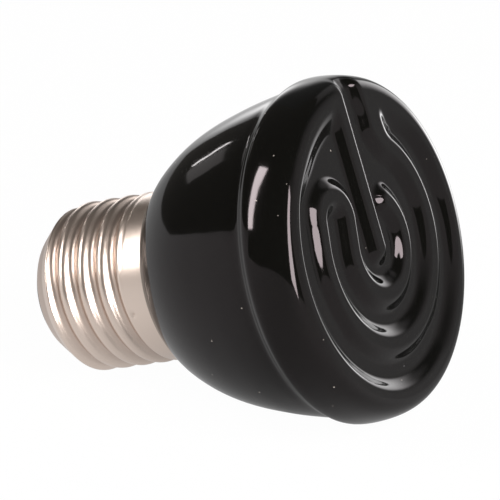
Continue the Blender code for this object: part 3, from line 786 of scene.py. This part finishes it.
def mirrored_level(azimuth, elevation):
    """How bright the surroundings look in gloss, a painted reflection, as a share of BRIGHTEST: (table and
    walls, times the eased edges above and below) + dim room + panel + glint. The white is dimmer straight
    ahead and to the back, and fades below the object as a painted shadow, and high up. The panel behind the
    object is a painted highlight far brighter than white, and the glint is a narrow painted highlight to the
    side of it."""
    around = SIDE_LEVEL - AHEAD_DIP * bump(azimuth, *AHEAD) - BACK_DIP * bump(azimuth, *BACK)
    around = around + BAND_LIFT * bump(azimuth, *BAND)
    turn = azimuth % 360
    to_back = edge(turn, *TO_BACK)
    top_from, top_run = TOP_FROM - BACK_TOP_LOWER * to_back, TOP_RUN - BACK_TOP_SHORTER * to_back
    below_top = 1 - edge(elevation, top_from, top_run)
    above_shadow = 1 - UNDER_DIP * edge(-elevation, *UNDER)
    light = BACK_LIGHT * (1 + bump(azimuth, *LIGHT_CORE) * (elevation < 0))
    light = light * edge(turn, *LIGHT_LEFT) * (1 - edge(turn, *LIGHT_RIGHT))
    light = light * edge(elevation, *LIGHT_FOOT) * (1 - edge(elevation, *LIGHT_HEAD))
    glint = BACK_GLINT * bump(azimuth, *GLINT_TURN) * bump(elevation, *GLINT_RISE)
    behind = edge(turn, *BEHIND_LEFT) * (1 - edge(turn, *BEHIND_RIGHT))
    room = (ROOM_LEVEL + ROOM_BEHIND * behind) * (1 - below_top)
    return np.clip(around * above_shadow * below_top + room + light + glint, 0.0, BRIGHTEST) / BRIGHTEST


def stage_sheet(name, points, material):
    """A grid of points as one smooth stage mesh."""
    rows, columns = points.shape[:2]
    row, column = np.meshgrid(np.arange(rows - 1), np.arange(columns - 1), indexing="ij")
    start = row * columns + column
    faces = np.stack([start, start + 1, start + columns + 1, start + columns], -1).reshape(-1, 4)
    mesh = bpy.data.meshes.new(name)
    mesh.from_pydata(points.reshape(-1, 3).tolist(), [], faces.tolist())
    mesh.polygons.foreach_set("use_smooth", np.ones(len(faces), bool))
    mesh.materials.append(material)
    x, y, z = (points.reshape(-1, 3) - np.array(LEVEL_FROM)).T
    azimuth, elevation = np.degrees(np.arctan2(x, -y)), np.degrees(np.arctan2(z, np.hypot(x, y)))
    level = mirrored_level(azimuth, elevation)
    mesh.attributes.new("level", "FLOAT", "POINT").data.foreach_set("value", level)
    piece = bpy.data.objects.new(name, mesh)
    bpy.context.scene.collection.objects.link(piece)
    return piece


def around_point(azimuth, radius, height):
    """The point at an azimuth from -Y towards +X: (r sin a, -r cos a, h)."""
    angle = np.radians(azimuth)
    flat = radius * np.sin(angle), -radius * np.cos(angle)
    return np.stack(np.broadcast_arrays(*flat, height), -1)


sweep = white_sweep("sweep_white")
azimuths = np.linspace(0, 360, 145)
rings = FIRST_RING * RING_GROWTH ** np.arange(TABLE_RINGS)
corner_in, corner_height = np.array(TABLE_CORNER).T
table_radius = np.concatenate([[0.0], rings, TABLE_RADIUS - corner_in])
table_height = np.concatenate([np.zeros(TABLE_RINGS + 1), corner_height])
stage_sheet("table", around_point(azimuths, table_radius[:, None], table_height[:, None]), sweep)
sheet_azimuths = np.linspace(SHEET_FROM, SHEET_TO, 121)
sheet_heights = np.linspace(0.0, SHEET_HEIGHT, 33)[:, None]
stage_sheet("backdrop", around_point(sheet_azimuths, SHEET_RADIUS + 0 * sheet_heights, sheet_heights), sweep)
card_azimuths = np.linspace(CARD_FROM, CARD_TO, 17)
card_tops = np.linspace(CARD_LOW, CARD_HIGH, 17) * np.linspace(0, 1, 5)[:, None]
stage_sheet("card", around_point(card_azimuths, CARD_RADIUS + 0 * card_tops, card_tops), sweep)

# %% [markdown]
# Lamps. A reflection in a convex gloss surface shows where a lamp stands, so the directions of both ends of
# each lamp were read from the photographed highlights: two strip softboxes that lean over the table from
# left and right, and at the left a small dim window with one bright edge.

# %% Lamps and world
AIM = Vector((0.0, 0.0, 0.026))
LAMP_DISTANCE = 1.0
LAMP_COLOUR = (1.0, 0.985, 0.975)
ROOM_COLOUR = (0.10, 0.095, 0.088, 1.0)
# Azimuth and elevation of the low and the high end, width in metres, radiance
LAMPS = {
    "strip_left": ((-39.5, 19.0), (-62.0, 50.0), 0.13, 24.0),
    "softbox_right": ((42.0, 3.0), (81.0, 46.0), 0.27, 19.0),
    "window_edge": ((-112.0, 15.5), (-115.5, 22.0), 0.02, 12.0),
    "window_pane": ((-105.0, 15.5), (-107.0, 24.0), 0.18, 0.6),
}


def direction(azimuth, elevation):
    """The unit vector of an azimuth and an elevation."""
    rise = math.radians(elevation)
    return Vector(around_point(azimuth, math.cos(rise), math.sin(rise)))


def strip_lamp(name, low_end, high_end, width, radiance):
    """A lamp between two directions (azimuth, elevation). Power = radiance times pi times area, in watts."""
    low, high = (direction(*end) * LAMP_DISTANCE for end in (low_end, high_end))
    away = ((low + high) / 2).normalized()
    along = (high - low) - (high - low).dot(away) * away
    lamp = bpy.data.lights.new(name, "AREA")
    lamp.shape = "RECTANGLE"
    lamp.size, lamp.size_y = width, along.length
    lamp.energy = radiance * math.pi * width * along.length
    lamp.color = LAMP_COLOUR
    holder = bpy.data.objects.new(name, lamp)
    axes = Matrix((along.normalized().cross(away), along.normalized(), away)).transposed()
    holder.matrix_world = Matrix.Translation(AIM + (low + high) / 2) @ axes.to_4x4()
    bpy.context.scene.collection.objects.link(holder)
    print(name, round(lamp.energy, 2), "W")


for lamp_name, lamp_values in LAMPS.items():
    strip_lamp(lamp_name, *lamp_values)

world = bpy.data.worlds.new("dim_room")
world.use_nodes = True
world.node_tree.nodes["Background"].inputs["Color"].default_value = ROOM_COLOUR
bpy.context.scene.world = world

# %% [markdown]
# Camera. A product shot from about half a metre with a long lens: its place was solved from the outline of
# the flange and the cap, level and with no shift.

# %% Camera
CAMERA_PLACE = (0.33236, -0.58854, 0.25106)
CAMERA_AHEAD = (-0.46249, 0.82682, -0.32010)
LENS = 335.36

camera = bpy.data.objects.new("camera", bpy.data.cameras.new("camera"))
camera.data.lens = LENS
camera.data.sensor_width = 36.0
camera.data.clip_start = 0.05
camera.location = CAMERA_PLACE
camera.rotation_euler = Vector(CAMERA_AHEAD).to_track_quat("-Z", "Y").to_euler()
bpy.context.scene.collection.objects.link(camera)
bpy.context.scene.camera = camera
bpy.context.scene.view_settings.view_transform = "Standard"
